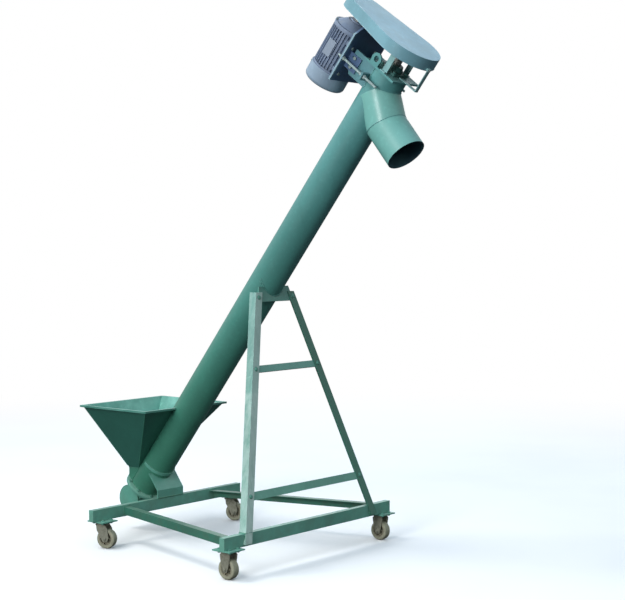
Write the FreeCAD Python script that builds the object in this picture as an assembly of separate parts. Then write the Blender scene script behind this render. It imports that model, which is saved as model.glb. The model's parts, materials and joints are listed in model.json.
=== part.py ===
import FreeCAD, Part
import math
import os
from FreeCAD import Vector

# Inclined screw conveyor (grain auger) on a wheeled frame, in millimetres, +Z up.
# Design frame: x = 0 is the front face of the rear cross beam, y = 0 the auger's vertical
# plane, z = 0 the floor.  save() moves everything so the origin is bottom centre.

# ---------------------------------------------------------------- driving dimensions
WHEEL_R = 63.5            # 5 inch casters
CASTER_H = 172.0          # floor to the top of the caster plate
PAD_T = 8.0               # mounting pad welded under each beam end
BEAM_Z = CASTER_H + PAD_T
BEAM_H, BEAM_D, BEAM_T = 75.0, 40.0, 5.0
REAR_HALF, FRONT_HALF = 694.0, 797.5
FRONT_X = 1270.0          # front face of the front cross beam
BEAM_TOP = BEAM_Z + BEAM_H

TUBE_R, TUBE_WALL = 109.5, 5.0
TUBE_IN = TUBE_R - TUBE_WALL
TILT = 51.2               # angle of the auger above the floor
AXIS_X, AXIS_Z = -224.0, 330.0
TUBE_S0, TUBE_S1 = -20.0, 3392.0
FLIGHT_R, CORE_R, PITCH = 99.5, 24.0, 200.0
FLIGHT_T = 4.0

HOPPER_TOP, HOPPER_LOW = 881.0, 437.0
HOPPER_X0, HOPPER_X1, HOPPER_HALF = -466.0, 155.0, 371.0
OUTLET_X0, OUTLET_X1, OUTLET_HALF = -310.0, -215.0, 94.0
SHEET = 3.0

SPOUT_R, SPOUT_WALL = 122.5, 4.0
SPOUT_S = 3249.5          # where the spout's axis leaves the auger's axis
DROP_1, LENGTH_1 = 75.4, 202.0
DROP_2, LENGTH_2 = 51.5, 229.0

MOTOR_N = 400.0           # pulley centre distance, above the auger
GUARD_S0, GUARD_S1 = 3543.0, 3615.5
GUARD_R1, GUARD_R2 = 202.0, 127.0
MOTOR_R = 132.0
PLATE_N, PLATE_T = 256.0, 12.0
RUN_GAP = 0.05            # running clearance of shafts and pins
SHAFT_R, MOTOR_SHAFT_R = 22.5, 19.0

LEAN = 12.2               # backward lean of the tower
SPLAY = 16.8              # inward lean of each tower leg
LEG, LEG_T = 56.0, 5.0

M12, M12_HEAD, M12_FLATS = 6.0, 7.5, 19.0
M10, M10_HEAD, M10_FLATS = 5.0, 6.4, 17.0
HOLE_GAP = 0.5

X_MIN = HOPPER_X0 - 14.0
X_MAX = (AXIS_X + GUARD_S1 * math.cos(math.radians(TILT))
         + GUARD_R1 * math.sin(math.radians(TILT)))
ORIGIN = Vector(-(X_MIN + X_MAX) / 2.0, 0, 0)

X, Y, Z = Vector(1, 0, 0), Vector(0, 1, 0), Vector(0, 0, 1)
NEAR, FAR = -1, 1
saved = {}


# ---------------------------------------------------------------- helpers
def box(x0, x1, y0, y1, z0, z1):
    return Part.makeBox(x1 - x0, y1 - y0, z1 - z0, Vector(x0, y0, z0))


def rod(radius, start, axis, length):
    return Part.makeCylinder(radius, length, start, axis)


def disc(radius, z0, z1, x=0.0, y=0.0):
    return Part.makeCylinder(radius, z1 - z0, Vector(x, y, z0))


def ring(outer, inner, z0, z1, x=0.0, y=0.0):
    return disc(outer, z0, z1, x, y).cut(disc(inner, z0 - 1, z1 + 1, x, y))


def prism(points, direction):
    """Extrude a closed polygon of 3-D points along a vector."""
    wire = Part.makePolygon(points + [points[0]])
    return Part.Face(wire).extrude(direction)


def hexagon(flats, z0, z1, x=0.0, y=0.0):
    corner = flats / math.sqrt(3)
    angles = [math.radians(60 * i) for i in range(6)]
    points = [Vector(x + corner * math.cos(t), y + corner * math.sin(t), z0) for t in angles]
    return prism(points, Vector(0, 0, z1 - z0))


def turned(shape, axis, degrees, centre=Vector(0, 0, 0)):
    copy = shape.copy()
    copy.rotate(centre, axis, degrees)
    return copy


def moved(shape, x=0.0, y=0.0, z=0.0):
    copy = shape.copy()
    copy.translate(Vector(x, y, z))
    return copy


def mirrored(shape):
    return shape.mirror(Vector(0, 0, 0), Y)


def fuse(shapes):
    whole = shapes[0].multiFuse(shapes[1:]) if len(shapes) > 1 else shapes[0]
    return whole.removeSplitter()


def cut_all(shape, tools):
    for tool in tools:
        shape = shape.cut(tool)
    return shape


def on_auger(shape):
    """Auger coordinates to the design frame: local z runs up the auger's axis and local -x
    points away from its underside."""
    copy = turned(shape, Y, 90 - TILT)
    copy.translate(Vector(AXIS_X, 0, AXIS_Z))
    return copy


def on_tower(shape):
    """Tower coordinates to the design frame: local x points forward out of the leg plane,
    local z runs up it, and the origin is on the front beam's top front edge."""
    copy = turned(shape, Y, -LEAN)
    copy.translate(Vector(FRONT_X + 0.2, 0, BEAM_TOP))
    return copy


def auger_solid(radius=TUBE_R, s0=-400.0, s1=4200.0):
    return on_auger(disc(radius, s0, s1))


def bolt(r, head, flats, grip, nut):
    """Hex bolt along +z: its head under z = 0 and its nut on z = grip."""
    shank = disc(r, -head, grip + nut + 2)
    return fuse([shank, hexagon(flats, -head, 0), hexagon(flats, grip, grip + nut)])


def solids_of(shape):
    return shape.Solids if shape.Solids else [shape]


def save(name, *shapes):
    pieces = [s for shape in shapes for s in solids_of(shape)]
    whole = pieces[0] if len(pieces) == 1 else Part.makeCompound(pieces)
    whole = whole.copy()
    whole.translate(ORIGIN)
    assert whole.isValid(), name
    whole.exportStep("parts/" + name + ".step")
    saved[name] = whole


# ---------------------------------------------------------------- wheeled frame
def cross_beam(front, half):
    """Rolled channel on edge, its web to the front, closed by a plate at each end."""
    solid = box(front - BEAM_D, front, -half, half, BEAM_Z, BEAM_TOP)
    inside = half - BEAM_T
    hollow = box(front - BEAM_D - 1, front - BEAM_T, -inside, inside,
                 BEAM_Z + BEAM_T, BEAM_TOP - BEAM_T)
    return solid.cut(hollow)


def side_rail(side):
    """Angle iron splayed outwards from the rear beam to the front beam's web."""
    leg, t = 50.0, 5.0
    top = BEAM_TOP - 12.5
    rear_y, slope = 427.0, 0.253
    section = [Vector(-200, 0, top), Vector(-200, leg, top), Vector(-200, leg, top - t),
               Vector(-200, t, top - t), Vector(-200, t, top - leg), Vector(-200, 0, top - leg)]
    rail = prism(section, Vector(1800, 0, 0))
    rail = turned(rail, Z, -math.degrees(math.atan(slope)))
    rail.translate(Vector(0, -rear_y, 0))
    rail = rail.common(box(0, FRONT_X - BEAM_T, -1200, 0, 0, 400))
    return rail if side == NEAR else mirrored(rail)


PAD_X, PAD_Y = 146.0, 130.0
BOLT_X, BOLT_Y = 85.0, 70.0
SWIVEL_CASTERS = {
    "rear_near": (-10.0, -605.0, 20.0),
    "rear_far": (-10.0, 605.0, 26.0),
}
RIGID_CASTERS = {
    "front_near": (1242.0, -732.0, 0.0),
    "front_far": (1242.0, 732.0, 0.0),
}
CASTERS = {**SWIVEL_CASTERS, **RIGID_CASTERS}


def bolt_spots(x, y):
    return [(x + i * BOLT_X / 2, y + j * BOLT_Y / 2) for i in (-1, 1) for j in (-1, 1)]


def caster_pad(x, y):
    pad = box(x - PAD_X / 2, x + PAD_X / 2, y - PAD_Y / 2, y + PAD_Y / 2, CASTER_H, BEAM_Z)
    return cut_all(pad, [disc(M10 + HOLE_GAP, 0, 300, *p) for p in bolt_spots(x, y)])


PLATE_H, KINGPIN_R = 5.0, 8.0
PLATE_Z = CASTER_H - PLATE_H
CROWN_TOP, CROWN_T = 158.0, 6.0


def caster_plate(x, y, swivels):
    """Top plate; a swivel caster's has the raceway cup and the kingpin that carries the fork."""
    whole = box(-57.5, 57.5, -50, 50, PLATE_Z, CASTER_H)
    if swivels:
        cup = Part.makeCone(30, 38, PLATE_Z - CROWN_TOP - 0.6, Vector(0, 0, CROWN_TOP + 0.6))
        low = CROWN_TOP - CROWN_T
        pin = disc(KINGPIN_R, low - 6, CASTER_H - 1)
        head = disc(13, low - 6.5, low - 0.6)
        whole = fuse([whole, cup, pin, head])
    whole = moved(whole, x, y)
    return cut_all(whole, [disc(M10 + HOLE_GAP, 0, 300, *p) for p in bolt_spots(x, y)])


TRAIL, FORK_GAP, FORK_T = 32.0, 30.0, 4.0
FORK_OUT = FORK_GAP + FORK_T
AXLE_R = 6.0


def fork_with_axle(crown, outline, trail):
    """Pressed fork, its crown and two side plates, and the axle bolt held in them."""
    leg = moved(prism(outline, Vector(0, FORK_T, 0)), y=FORK_GAP)
    fork = fuse([crown, leg, mirrored(leg)])
    axle = rod(AXLE_R, Vector(trail, -FORK_OUT - 9, WHEEL_R), Y, 2 * FORK_OUT + 18)
    fork = fork.cut(axle)
    nut = turned(hexagon(19, FORK_OUT, FORK_OUT + 7), X, -90)
    nut.translate(Vector(trail, 0, WHEEL_R))
    return [fork, fuse([axle, nut, mirrored(nut)])]


def swivel_fork():
    low = CROWN_TOP - CROWN_T
    crown = disc(46, low, CROWN_TOP).common(box(-46, 46, -FORK_OUT, FORK_OUT, 0, 200))
    crown = crown.cut(disc(KINGPIN_R + RUN_GAP, 0, 300))
    outline = [Vector(-31, 0, CROWN_TOP), Vector(31, 0, CROWN_TOP), Vector(50, 0, 130),
               Vector(TRAIL + 26, 0, WHEEL_R + 8), Vector(TRAIL + 15, 0, WHEEL_R - 18),
               Vector(TRAIL - 15, 0, WHEEL_R - 18), Vector(TRAIL - 30, 0, WHEEL_R + 8),
               Vector(-26, 0, 120)]
    return fork_with_axle(crown, outline, TRAIL)


def rigid_fork():
    low = PLATE_Z - CROWN_T
    crown = box(-31, 31, -FORK_OUT, FORK_OUT, low, PLATE_Z)
    outline = [Vector(-31, 0, PLATE_Z), Vector(31, 0, PLATE_Z), Vector(31, 0, 158),
               Vector(40, 0, 148), Vector(36, 0, 120), Vector(22, 0, WHEEL_R + 4),
               Vector(14, 0, WHEEL_R - 18), Vector(-14, 0, WHEEL_R - 18),
               Vector(-22, 0, WHEEL_R + 4), Vector(-36, 0, 120), Vector(-40, 0, 148),
               Vector(-31, 0, 158)]
    return fork_with_axle(crown, outline, 0.0)


TYRE_IN, TYRE_HALF = 46.0, 25.0


def wheel_hub():
    """Wheel centre, its axis along z."""
    rim = ring(TYRE_IN, 39, -22, 22)
    web = disc(40, -4, 4)
    hub = disc(17, 0.5 - FORK_GAP, FORK_GAP - 0.5)
    ribs = [turned(box(15, 41, -3, 3, -16, 16), Z, 60 * i) for i in range(6)]
    return fuse([rim, web, hub] + ribs).cut(disc(AXLE_R + RUN_GAP, -40, 40))


def wheel_tyre():
    tyre = ring(WHEEL_R, TYRE_IN, -TYRE_HALF, TYRE_HALF)
    rims = [e for e in tyre.Edges if abs(e.BoundBox.XMax - WHEEL_R) < 0.01 and e.Closed]
    return tyre.makeFillet(7.0, rims)


def on_axle(shape, trail):
    """Wheel coordinates to the caster's: the axle lies across, trail behind the pivot."""
    copy = turned(shape, X, -90)
    copy.translate(Vector(trail, 0, WHEEL_R))
    return copy


def build_caster(name, x, y, swivel):
    rigid = name in RIGID_CASTERS
    trail = 0.0 if rigid else TRAIL
    fork = rigid_fork() if rigid else swivel_fork()
    save("caster_fork_" + name, *[moved(turned(s, Z, swivel), x, y) for s in fork])
    for part, shape in (("wheel", wheel_hub()), ("tyre", wheel_tyre())):
        placed = moved(turned(on_axle(shape, trail), Z, swivel), x, y)
        save("caster_" + part + "_" + name, placed)


def build_frame():
    save("rear_beam", cross_beam(0.0, REAR_HALF))
    save("front_beam", cross_beam(FRONT_X, FRONT_HALF))
    save("side_rail_near", side_rail(NEAR))
    save("side_rail_far", side_rail(FAR))
    save("caster_pads", *[caster_pad(x, y) for x, y, a in CASTERS.values()])
    save("caster_plates", *[caster_plate(x, y, name in SWIVEL_CASTERS)
                            for name, (x, y, a) in CASTERS.items()])
    bolts = []
    for x, y, swivel in CASTERS.values():
        for spot in bolt_spots(x, y):
            screw = bolt(M10, M10_HEAD, M10_FLATS, PLATE_H + PAD_T, 8.0)
            bolts.append(moved(screw, spot[0], spot[1], PLATE_Z))
    save("caster_bolts", *bolts)
    for name, (x, y, swivel) in CASTERS.items():
        build_caster(name, x, y, swivel)


# ---------------------------------------------------------------- tower
LEG_FOOT_Y = 632.9        # outer corner of a leg at the beam's underside
FOOT_DROP = 62.0          # how far a leg laps down the beam's face
SADDLE = (1385.0, 1482.0, 168.0)
MID_TIE = (945.0, 987.0)
LOW_TIE = (182.0, 232.0)


def leg_outer(z):
    """Distance from the middle plane to a leg's outer corner, z up the tower."""
    return LEG_FOOT_Y - (z + 56.0) * math.tan(math.radians(SPLAY))


def leg_middle(z):
    return leg_outer(z) - LEG / 2 / math.cos(math.radians(SPLAY))


def tower_screws():
    """Where the tower is bolted: (y, z) in the leg plane and the thickness behind it."""
    spots = [(leg_middle(z), z, t) for z, t in ((1412.0, 10.0), (966.0, 4.0), (207.0, 5.0))]
    return [(side * y, z, t) for side in (NEAR, FAR) for y, z, t in spots]


def tower_holes():
    return [on_tower(rod(M12 + HOLE_GAP, Vector(-40, y, z), X, 80)) for y, z, t in tower_screws()]


def tower_leg(side):
    section = [Vector(LEG_T, 0, -200), Vector(LEG_T, LEG, -200), Vector(0, LEG, -200),
               Vector(0, LEG_T, -200), Vector(LEG_T - LEG, LEG_T, -200),
               Vector(LEG_T - LEG, 0, -200)]
    leg = turned(prism(section, Vector(0, 0, 1900)), X, -SPLAY)
    leg.translate(Vector(0, -leg_outer(0), 0))
    leg = on_tower(leg)
    leg = leg.cut(box(1000, FRONT_X, -900, 900, 0, BEAM_TOP))
    foot = BEAM_TOP - FOOT_DROP
    leg = leg.common(box(500, 1600, -900, 900, foot, 1668))
    wedge = prism([Vector(FRONT_X, -624, foot), Vector(FRONT_X, -624, BEAM_TOP - 6),
                   Vector(FRONT_X + 14, -624, foot)], Vector(0, 46, 0))
    leg = cut_all(fuse([leg, wedge]), tower_holes())
    return leg if side == NEAR else mirrored(leg)


def tie(z0, z1, t):
    """Angle iron between the legs, lapped behind their front flanges."""
    half = leg_outer(z1) - LEG_T / math.cos(math.radians(SPLAY)) - 6
    depth = z1 - z0
    bar = box(-t, 0, -half, half, z0, z1)
    shelf = box(-depth, -t, -half, half, z0, z0 + t)
    ends = [prism([Vector(-100, side * (leg_outer(z0) + 200), z0 - 5),
                   Vector(-100, side * (leg_outer(z0 - 5) - 12), z0 - 5),
                   Vector(-100, side * (leg_outer(z1 + 5) - 12), z1 + 5),
                   Vector(-100, side * (leg_outer(z0) + 200), z1 + 5)], Vector(200, 0, 0))
            for side in (NEAR, FAR)]
    bar = cut_all(fuse([bar, shelf]), ends)
    return cut_all(on_tower(bar), tower_holes())


def tube_saddle():
    """Cradle plate between the leg tops, cut out around the auger tube."""
    z0, z1, half = SADDLE
    lean = (z1 - z0) * math.tan(math.radians(SPLAY))
    outline = [Vector(-10, -half, z0), Vector(-10, half, z0), Vector(-10, half - lean, z1),
               Vector(-10, lean - half, z1)]
    plate = on_tower(prism(outline, Vector(10, 0, 0)))
    return cut_all(plate, tower_holes() + [auger_solid()])


def build_tower():
    save("tower_leg_near", tower_leg(NEAR))
    save("tower_leg_far", tower_leg(FAR))
    save("tower_mid_tie", tie(*MID_TIE, 4.0))
    save("tower_low_tie", tie(*LOW_TIE, 5.0))
    save("tube_saddle", tube_saddle())
    screws = []
    for y, z, t in tower_screws():
        screw = turned(bolt(M12, M12_HEAD, M12_FLATS, LEG_T + t, 10.0), Y, -90)
        screws.append(on_tower(moved(screw, LEG_T, y, z)))
    save("tower_bolts", *screws)


# ---------------------------------------------------------------- lower end and hopper
def lower_support():
    """Bent plate that stands on the rear beam and cradles the tube's underside."""
    t = 6.0
    path = [Vector(0, -120, BEAM_TOP), Vector(0, -120, 308), Vector(-83, -120, 417),
            Vector(-87.8, -120, 413.4), Vector(-t, -120, 306), Vector(-t, -120, BEAM_TOP)]
    return prism(path, Vector(0, 240, 0)).cut(auger_solid())


def lower_band():
    """Half band under the tube, just above the support."""
    half = ring(TUBE_R + 7.0, TUBE_R, 172, 192).common(box(-26, 200, -200, 200, 100, 300))
    return on_auger(half)


FLANGE_R = 140.0
END_BOLTS = 8


def end_bolt_spots():
    angles = [math.radians(22.5 + 360.0 / END_BOLTS * i) for i in range(END_BOLTS)]
    return [(125 * math.cos(t), 125 * math.sin(t)) for t in angles]


def end_ring(outer, inner, z0, z1):
    plate = ring(outer, inner, z0, z1)
    return cut_all(plate, [disc(M10 + HOLE_GAP, z0 - 1, z1 + 1, *p) for p in end_bolt_spots()])


DRUM_S, DRUM_R, DRUM_HALF = -142.0, 92.0, 98.0


def tail_drum():
    """Cross drum behind the end cover that houses the tail bearing, cheeks on both ends."""
    shell = rod(DRUM_R, Vector(0, -DRUM_HALF, DRUM_S), Y, 2 * DRUM_HALF)
    hollow = rod(DRUM_R - SHEET, Vector(0, SHEET - DRUM_HALF, DRUM_S), Y,
                 2 * (DRUM_HALF - SHEET))
    neck = box(-70, 70, -80, 80, DRUM_S, -42)
    neck_hollow = box(-67, 67, -77, 77, DRUM_S, -40)
    return fuse([shell, neck]).cut(fuse([hollow, neck_hollow]))


def tail_bearing():
    base = box(-52, 52, -52, 52, -56, -42)
    boss = disc(40, -78, -42)
    housing = fuse([base, boss]).cut(disc(SHAFT_R + RUN_GAP, -100, 0))
    spots = [(i * 40, j * 40) for i in (-1, 1) for j in (-1, 1)]
    screws = [fuse([disc(M10, -62, -36, *p), hexagon(M10_FLATS, -62, -56, *p)]) for p in spots]
    return fuse([housing] + screws)


def frustum(inset, z0, z1):
    """Solid inside of the hopper, walls moved in by inset."""
    def corners(x0, x1, half, z):
        return [Vector(x0 + inset, -half + inset, z), Vector(x1 - inset, -half + inset, z),
                Vector(x1 - inset, half - inset, z), Vector(x0 + inset, half - inset, z)]

    def section(z):
        k = (z - HOPPER_LOW) / (HOPPER_TOP - HOPPER_LOW)
        x0 = OUTLET_X0 + k * (HOPPER_X0 - OUTLET_X0)
        x1 = OUTLET_X1 + k * (HOPPER_X1 - OUTLET_X1)
        half = OUTLET_HALF + k * (HOPPER_HALF - OUTLET_HALF)
        ring_points = corners(x0, x1, half, z)
        return Part.makePolygon(ring_points + [ring_points[0]])

    return Part.makeLoft([section(z0), section(z1)], True, True)


def hopper_corner(end_x):
    """Plan line of the corner seam at one end: its start, its slope dx/dy and its far point."""
    x0, x1 = (OUTLET_X0, HOPPER_X0) if end_x < 0 else (OUTLET_X1, HOPPER_X1)
    spread = HOPPER_HALF - OUTLET_HALF
    slope = (x1 - x0) / spread
    far = Vector(x0 + slope * 1.4 * spread, OUTLET_HALF + 1.4 * spread, 0)
    return x0, slope, far


def hopper_sector(side_x, side_y):
    """Plan wedge of the funnel that holds one of its four panels, mitred at the corners."""
    if side_y:
        left, left_slope, left_far = hopper_corner(-1)
        right, right_slope, right_far = hopper_corner(1)
        inwards = (right - left) / (right_slope - left_slope)
        points = [Vector(left - left_slope * inwards, OUTLET_HALF - inwards, 0), left_far,
                  right_far]
        plan = [Vector(p.x, side_y * p.y, 0) for p in points]
    else:
        start, slope, far = hopper_corner(side_x)
        middle = (OUTLET_X0 + OUTLET_X1) / 2
        half = OUTLET_HALF + (middle - start) / slope
        plan = [Vector(middle, half, 0), far, Vector(far.x, -far.y, 0), Vector(middle, -half, 0)]
    return prism(plan, Vector(0, 0, HOPPER_TOP + 10))


def hopper():
    """Square funnel of four folded panels, cut out where the auger tube passes through it."""
    shell = frustum(0, HOPPER_LOW, HOPPER_TOP)
    turn = 14.0
    flange = box(HOPPER_X0 - turn, HOPPER_X1 + turn, -HOPPER_HALF - turn, HOPPER_HALF + turn,
                 HOPPER_TOP - 13, HOPPER_TOP)
    under = box(HOPPER_X0 - turn + SHEET, HOPPER_X1 + turn - SHEET, -HOPPER_HALF - turn + SHEET,
                HOPPER_HALF + turn - SHEET, HOPPER_TOP - 17, HOPPER_TOP - SHEET)
    hollow = frustum(SHEET * 1.4, HOPPER_LOW - 1, HOPPER_TOP + 1)
    funnel = fuse([shell, flange.cut(under)]).cut(hollow).cut(auger_solid())
    sides = ((0, NEAR), (0, FAR), (-1, 0), (1, 0))
    return [funnel.common(hopper_sector(*side)) for side in sides]


def hopper_neck():
    """Short duct from the hopper's outlet down onto the tube."""
    duct = box(OUTLET_X0, OUTLET_X1 + 40, -OUTLET_HALF, OUTLET_HALF, 345, HOPPER_LOW)
    hollow = box(OUTLET_X0 + SHEET, OUTLET_X1 + 60, SHEET - OUTLET_HALF, OUTLET_HALF - SHEET,
                 340, HOPPER_LOW + 1)
    behind = on_auger(disc(300, -400, TUBE_S0))
    neck = cut_all(duct, [hollow, auger_solid(), behind])
    return max(neck.Solids, key=lambda s: s.Volume)


def spout_pipe(radius, extra):
    """Two-segment mitred pipe that leaves the auger's underside at its head."""
    def heading(drop):
        return Vector(math.cos(math.radians(drop)), 0, -math.sin(math.radians(drop)))

    first, second = heading(DROP_1), heading(DROP_2)
    start = on_auger(Part.Vertex(0, 0, SPOUT_S)).Point
    mitre = start + first * LENGTH_1
    half_1 = rod(radius, start - first * extra, first, LENGTH_1 + extra + 200)
    half_2 = rod(radius, mitre - second * 200, second, LENGTH_2 + extra + 200)
    bisector = math.degrees(math.atan2(-(first + second).z, (first + second).x))
    block = box(0, 900, -400, 400, -400, 400)
    ahead = moved(turned(block, Y, bisector), mitre.x, mitre.y, mitre.z)
    return fuse([half_1.cut(ahead), half_2.common(ahead)])


def spout():
    inner = spout_pipe(SPOUT_R - SPOUT_WALL, 2.0)
    start = on_auger(Part.Vertex(0, 0, SPOUT_S)).Point
    drop = Vector(math.cos(math.radians(DROP_1)), 0, -math.sin(math.radians(DROP_1)))
    lid = rod(SPOUT_R, start, drop, SPOUT_WALL)
    shell = fuse([spout_pipe(SPOUT_R, 0.0).cut(inner), lid]).cut(auger_solid())
    shell = shell.cut(on_auger(disc(400, TUBE_S1, TUBE_S1 + 400)))
    return max(shell.Solids, key=lambda s: s.Volume)


INTAKE_N, INTAKE = 62.0, (8.0, 250.0)
THROAT_R = 92.0           # opening from the tube down into the spout


def main_tube():
    tube = ring(TUBE_R, TUBE_IN, TUBE_S0, TUBE_S1)
    tube = tube.cut(box(-130, -INTAKE_N, -100, 100, *INTAKE))
    tube = on_auger(tube)
    start = on_auger(Part.Vertex(0, 0, SPOUT_S)).Point
    drop = Vector(math.cos(math.radians(DROP_1)), 0, -math.sin(math.radians(DROP_1)))
    return tube.cut(rod(THROAT_R, start, drop, 400))


def build_lower_end():
    save("lower_support", lower_support())
    save("lower_band", lower_band())
    save("main_tube", main_tube())
    save("tail_flange", on_auger(end_ring(FLANGE_R, TUBE_R, -30, -20)))
    cover = end_ring(FLANGE_R, SHAFT_R + 3, -42, -30)
    spots = [(i * 40, j * 40) for i in (-1, 1) for j in (-1, 1)]
    cover = cut_all(cover, [disc(M10 + RUN_GAP, -60, 0, *p) for p in spots])
    save("tail_cover", on_auger(cover))
    screws = [moved(bolt(M10, M10_HEAD, M10_FLATS, 22, 8.0), x, y, -42)
              for x, y in end_bolt_spots()]
    save("tail_bolts", *[on_auger(s) for s in screws])
    save("tail_drum", on_auger(tail_drum()))
    save("tail_bearing", on_auger(tail_bearing()))
    save("hopper", *hopper())
    save("hopper_neck", hopper_neck())
    save("spout", spout())


# ---------------------------------------------------------------- screw
def screw_core():
    pipe = disc(CORE_R, -15, TUBE_S1 - 12)
    shaft = disc(SHAFT_R, -95, 3604)
    return fuse([pipe, shaft])


def screw_flight():
    """Helical flight wound on the core pipe."""
    turns = 16.75
    height = turns * PITCH
    helix = Part.makeHelix(PITCH, height, CORE_R)
    root = CORE_R + RUN_GAP
    section = Part.makePolygon([Vector(root, 0, 0), Vector(FLIGHT_R, 0, 0),
                                Vector(FLIGHT_R, 0, FLIGHT_T), Vector(root, 0, FLIGHT_T),
                                Vector(root, 0, 0)])
    flight = Part.Wire(helix).makePipeShell([section], True, True)
    return moved(flight, z=5.0)


def v_pulley(outer, hub, bore, web, z0, z1):
    """Two-groove V-belt pulley."""
    body = [ring(outer, outer - 22, z0, z1), disc(outer - 10, (z0 + z1) / 2 - web / 2,
                                                  (z0 + z1) / 2 + web / 2), disc(hub, z0, z1)]
    pulley = fuse(body).cut(disc(bore, z0 - 1, z1 + 1))
    for z in groove_levels(z0, z1):
        floor = disc(outer - 14, z - 4.5, z + 4.5)
        whole = disc(outer + 5, z - 10, z + 10)
        keep = fuse([groove_cone(outer, z, 1), groove_cone(outer, z, -1), floor])
        pulley = pulley.cut(whole.cut(keep))
    return pulley


def groove_levels(z0, z1):
    middle = (z0 + z1) / 2
    return (middle - 9.5, middle + 9.5)


def groove_cone(outer, z, way):
    """One flank of a belt groove: solid pulley metal outside the flank."""
    face = Part.makePolygon([Vector(outer - 14, 0, z + way * 4.5),
                             Vector(outer + 6, 0, z + way * 10.5),
                             Vector(0, 0, z + way * 10.5), Vector(0, 0, z + way * 4.5),
                             Vector(outer - 14, 0, z + way * 4.5)])
    return Part.Face(face).revolve(Vector(0, 0, 0), Z, 360)


def loop_prism(r1, r2, z0, z1):
    """Prism of the outline drawn by a belt round two circles on the pulley centres."""
    far = -MOTOR_N
    lean = math.asin((r1 - r2) / MOTOR_N)
    up, side = math.sin(lean), math.cos(lean)
    a1, a2 = Vector(-r1 * up, r1 * side, z0), Vector(-r1 * up, -r1 * side, z0)
    b1, b2 = Vector(far - r2 * up, r2 * side, z0), Vector(far - r2 * up, -r2 * side, z0)
    edges = [Part.Arc(a2, Vector(r1, 0, z0), a1).toShape(), Part.LineSegment(a1, b1).toShape(),
             Part.Arc(b1, Vector(far - r2, 0, z0), b2).toShape(),
             Part.LineSegment(b2, a2).toShape()]
    return Part.Face(Part.Wire(edges)).extrude(Vector(0, 0, z1 - z0))


PULLEY_Z = (3556.0, 3596.0)
DRIVEN_R, DRIVE_R = 163.0, 59.0
BELT_IN, BELT_HALF = 11.0, 4.2


def drive_belts():
    belts = []
    for z in groove_levels(*PULLEY_Z):
        outer = loop_prism(DRIVEN_R, DRIVE_R, z - BELT_HALF, z + BELT_HALF)
        inner = loop_prism(DRIVEN_R - BELT_IN, DRIVE_R - BELT_IN, z - 20, z + 20)
        belts.append(outer.cut(inner))
    return belts


def build_screw():
    save("screw_core", on_auger(screw_core()))
    save("screw_flight", on_auger(screw_flight()))
    pulley = v_pulley(DRIVEN_R, 40, SHAFT_R, 10, *PULLEY_Z)
    lightening = [disc(24, 3500, 3650, 92 * math.cos(t), 92 * math.sin(t))
                  for t in [math.radians(72 * i) for i in range(5)]]
    save("driven_pulley", on_auger(cut_all(pulley, lightening)))
    save("drive_belts", *[on_auger(b) for b in drive_belts()])


# ---------------------------------------------------------------- head
HEAD_T = 12.0
HEAD_TOP = TUBE_S1 + HEAD_T
ROD_S, ROD_Y, ROD_R = 3310.0, 140.0, 8.0
EAR_Y, EAR_T = 85.0, 10.0
EYE_R = 18.0
SLOT_S, SLOT_N = (3285.0, 3345.0), 205.0
TRAVEL = 20.0             # belt-slackening travel of the motor carriage


def head_plate():
    plate = box(-125, 125, -125, 125, TUBE_S1, HEAD_TOP).cut(disc(SHAFT_R + 4, 3300, 3500))
    lug = box(-93, -25, -125, -115, HEAD_TOP, HEAD_TOP + 34)
    eye = rod(37, Vector(-59, -125, HEAD_TOP + 34), Y, 10)
    hole = rod(EYE_R, Vector(-59, -130, HEAD_TOP + 34), Y, 20)
    return fuse([plate, lug, eye]).cut(hole)


def head_bearing():
    base = box(-68, 68, -68, 68, HEAD_TOP, HEAD_TOP + 16)
    boss = Part.makeCone(56, 44, 40, Vector(0, 0, HEAD_TOP + 10))
    housing = fuse([base, boss]).cut(disc(SHAFT_R + RUN_GAP, 3300, 3600))
    spots = [(i * 54, j * 54) for i in (-1, 1) for j in (-1, 1)]
    screws = [hexagon(M12_FLATS, HEAD_TOP + 16, HEAD_TOP + 26, *p) for p in spots]
    return fuse([housing] + screws)


def motor_bracket(side):
    """Ear plate on the tube and head plate, with the lug that holds the jacking rod."""
    ear = prism([Vector(-50, EAR_Y, 3240), Vector(-50, EAR_Y, TUBE_S1),
                 Vector(-235, EAR_Y, TUBE_S1), Vector(-235, EAR_Y, 3280),
                 Vector(-200, EAR_Y, 3240)], Vector(0, EAR_T, 0))
    lug = box(-74, -60, EAR_Y - 4, ROD_Y + 24, ROD_S - 24, ROD_S + 24)
    lug = lug.cut(rod(ROD_R + 0.02, Vector(100, ROD_Y, ROD_S), -X, 500))
    bracket = fuse([ear, lug]).cut(disc(TUBE_R, 3000, TUBE_S1))
    holes = [rod(M12 + HOLE_GAP, Vector(-SLOT_N, 0, s), Y, 200) for s in SLOT_S]
    bracket = on_auger(cut_all(bracket, holes))
    return mirrored(bracket) if side == NEAR else bracket


def jacking_rod(y):
    """Threaded rod held in a bracket lug by two nuts."""
    stud = rod(ROD_R, Vector(52, y, ROD_S), -X, 352)
    nuts = []
    for x0, x1 in ((-60, -47), (-87, -74)):
        nut = turned(hexagon(24, x0, x1), Y, 90)
        nuts.append(moved(nut, 0, y, ROD_S))
    return on_auger(fuse([stud] + nuts))


def guide_bolts():
    """Bolts that clamp the carriage cheeks to the ears through their slots."""
    screws = []
    for side in (NEAR, FAR):
        for s in SLOT_S:
            screw = fuse([disc(M12, -8, 28), hexagon(M12_FLATS, -8, 0),
                          hexagon(M12_FLATS, 20, 28)])
            screw = moved(turned(screw, X, -90), -SLOT_N, EAR_Y, s)
            screws.append(on_auger(screw if side == FAR else mirrored(screw)))
    return screws


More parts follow.
